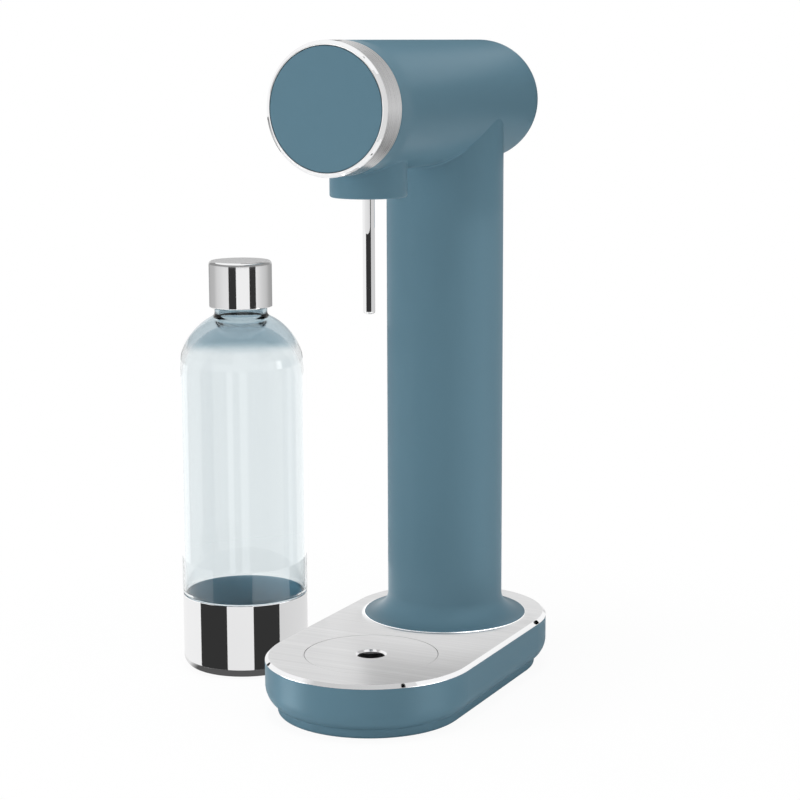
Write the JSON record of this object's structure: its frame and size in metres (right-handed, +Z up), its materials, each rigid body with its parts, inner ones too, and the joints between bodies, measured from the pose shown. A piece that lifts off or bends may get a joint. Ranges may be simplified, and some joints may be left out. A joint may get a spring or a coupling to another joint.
{
  "type": "sparkling water maker",
  "caption": "Countertop sparkling water maker with a turned front knob, gas cylinder in the column, lift-out drip parts and its own bottle.",
  "frame": {"origin": "middle of the machine's footprint, on the face it stands on", "axes": "+Z up, -Y to the front with the knob, +X to the right seen from the front"},
  "size_m": [0.2398, 0.2819, 0.4315],
  "materials": {
    "paint": "satin matt blue paint",
    "brushed_steel": "fine brushed, with polished edges",
    "polished_steel": "polished",
    "clear_plastic": "clear, gloss",
    "dark_plastic": "moulded",
    "rubber": "matt",
    "brass": "turned",
    "aluminium": "satin",
    "bright_steel": "zinc plated",
    "iron": "as cast"
  },
  "bodies": {
    "machine": {"housing": "paint", "column_foot": "paint", "nozzle_collar": "paint", "base_shell": "paint", "plinth": "paint", "top_plate": "brushed_steel", "carbonation_tube": "polished_steel", "nozzle_body": "dark_plastic", "bottle_coupling": "dark_plastic", "cylinder_guides": "dark_plastic", "plunger_seal": "rubber", "nozzle_seal": "rubber", "foot_pads": "rubber", "front_bush": "brass", "pedestal_bushes": "brass", "safety_valve": "brass", "pipe_nuts": "brass", "relief_valve": "brass", "valve_block": "aluminium", "front_plate": "aluminium", "chassis": "bright_steel", "front_plate_screws": "bright_steel", "chassis_screws": "bright_steel", "valve_block_screws": "bright_steel", "gas_pipe": "bright_steel", "nozzle_screws": "bright_steel", "return_spring": "bright_steel", "base_screws": "bright_steel", "column_screws": "bright_steel", "base_weight": "iron"},
    "knob": {"knob_ring": "brushed_steel", "knob_face": "paint", "knob_hub": "dark_plastic", "knob_screw": "bright_steel", "knob_shaft": "bright_steel", "cam": "bright_steel", "cam_pin": "bright_steel"},
    "plunger": {"plunger": "brass", "plunger_spring": "bright_steel"},
    "drip_tray": {"drip_tray": "dark_plastic"},
    "drip_plate": {"drip_plate": "brushed_steel"},
    "valve_gasket": {"valve_gasket": "rubber"},
    "gas_cylinder": {"gas_cylinder": "aluminium", "cylinder_valve": "brass"},
    "valve_pin": {"valve_pin": "brass"},
    "bottle": {"bottle_vessel": "clear_plastic", "bottle_sleeve": "polished_steel", "bottle_cup": "paint", "bottle_foot": "rubber"},
    "cap_seal": {"cap_seal": "rubber"},
    "cap": {"cap_shell": "polished_steel", "cap_liner": "dark_plastic"}
  },
  "joints": [
    {"name": "knob_turn", "type": "hinge", "parent": "machine", "child": "knob", "pos_m": [0, -0.05975, 0.3905], "axis": [0, 1, 0], "range_deg": [0, 45], "stiffness_Nm_per_rad": 0.4, "springref_deg": -17.19},
    {"name": "plunger_press", "type": "slide", "parent": "machine", "child": "plunger", "axis": [0, 0, -1], "range_m": [0, 0.00241], "stiffness_N_per_m": 200, "deforming": ["plunger_spring"]},
    {"name": "tray_lift", "type": "slide", "parent": "machine", "child": "drip_tray", "axis": [0, 0, 1], "range_m": [0, 0.06]},
    {"name": "plate_lift", "type": "slide", "parent": "drip_tray", "child": "drip_plate", "axis": [0, 0, 1], "range_m": [0, 0.05]},
    {"name": "cylinder_drop", "type": "slide", "parent": "machine", "child": "valve_gasket", "axis": [0, 0, -1], "range_m": [0, 0.01201]},
    {"name": "cylinder_turn", "type": "hinge", "parent": "valve_gasket", "child": "gas_cylinder", "pos_m": [0, 0.05575, 0.2], "axis": [0, 0, -1], "range_deg": [0, 1080]},
    {"name": "pin_press", "type": "slide", "parent": "gas_cylinder", "child": "valve_pin", "axis": [0, 0, -1], "range_m": [0, 0.00241], "stiffness_N_per_m": 100},
    {"name": "bottle_lift", "type": "slide", "parent": "machine", "child": "bottle", "axis": [0, 0, 1], "range_m": [0, 0.15]},
    {"name": "seal_rise", "type": "slide", "parent": "bottle", "child": "cap_seal", "axis": [0, 0, 1], "range_m": [0, 0.01001]},
    {"name": "cap_turn", "type": "hinge", "parent": "cap_seal", "child": "cap", "pos_m": [-0.1275, -0.001, 0.26], "axis": [0, 0, 1], "range_deg": [0, 900]}
  ],
  "couplings": [
    {"joint": "plunger_press", "follows": "knob_turn", "m_per_rad": 0.0030558},
    {"joint": "pin_press", "follows": "knob_turn", "m_per_rad": 0.0030558},
    {"joint": "cylinder_drop", "follows": "cylinder_turn", "m_per_rad": 0.00063662},
    {"joint": "seal_rise", "follows": "cap_turn", "m_per_rad": 0.00063662}
  ]
}
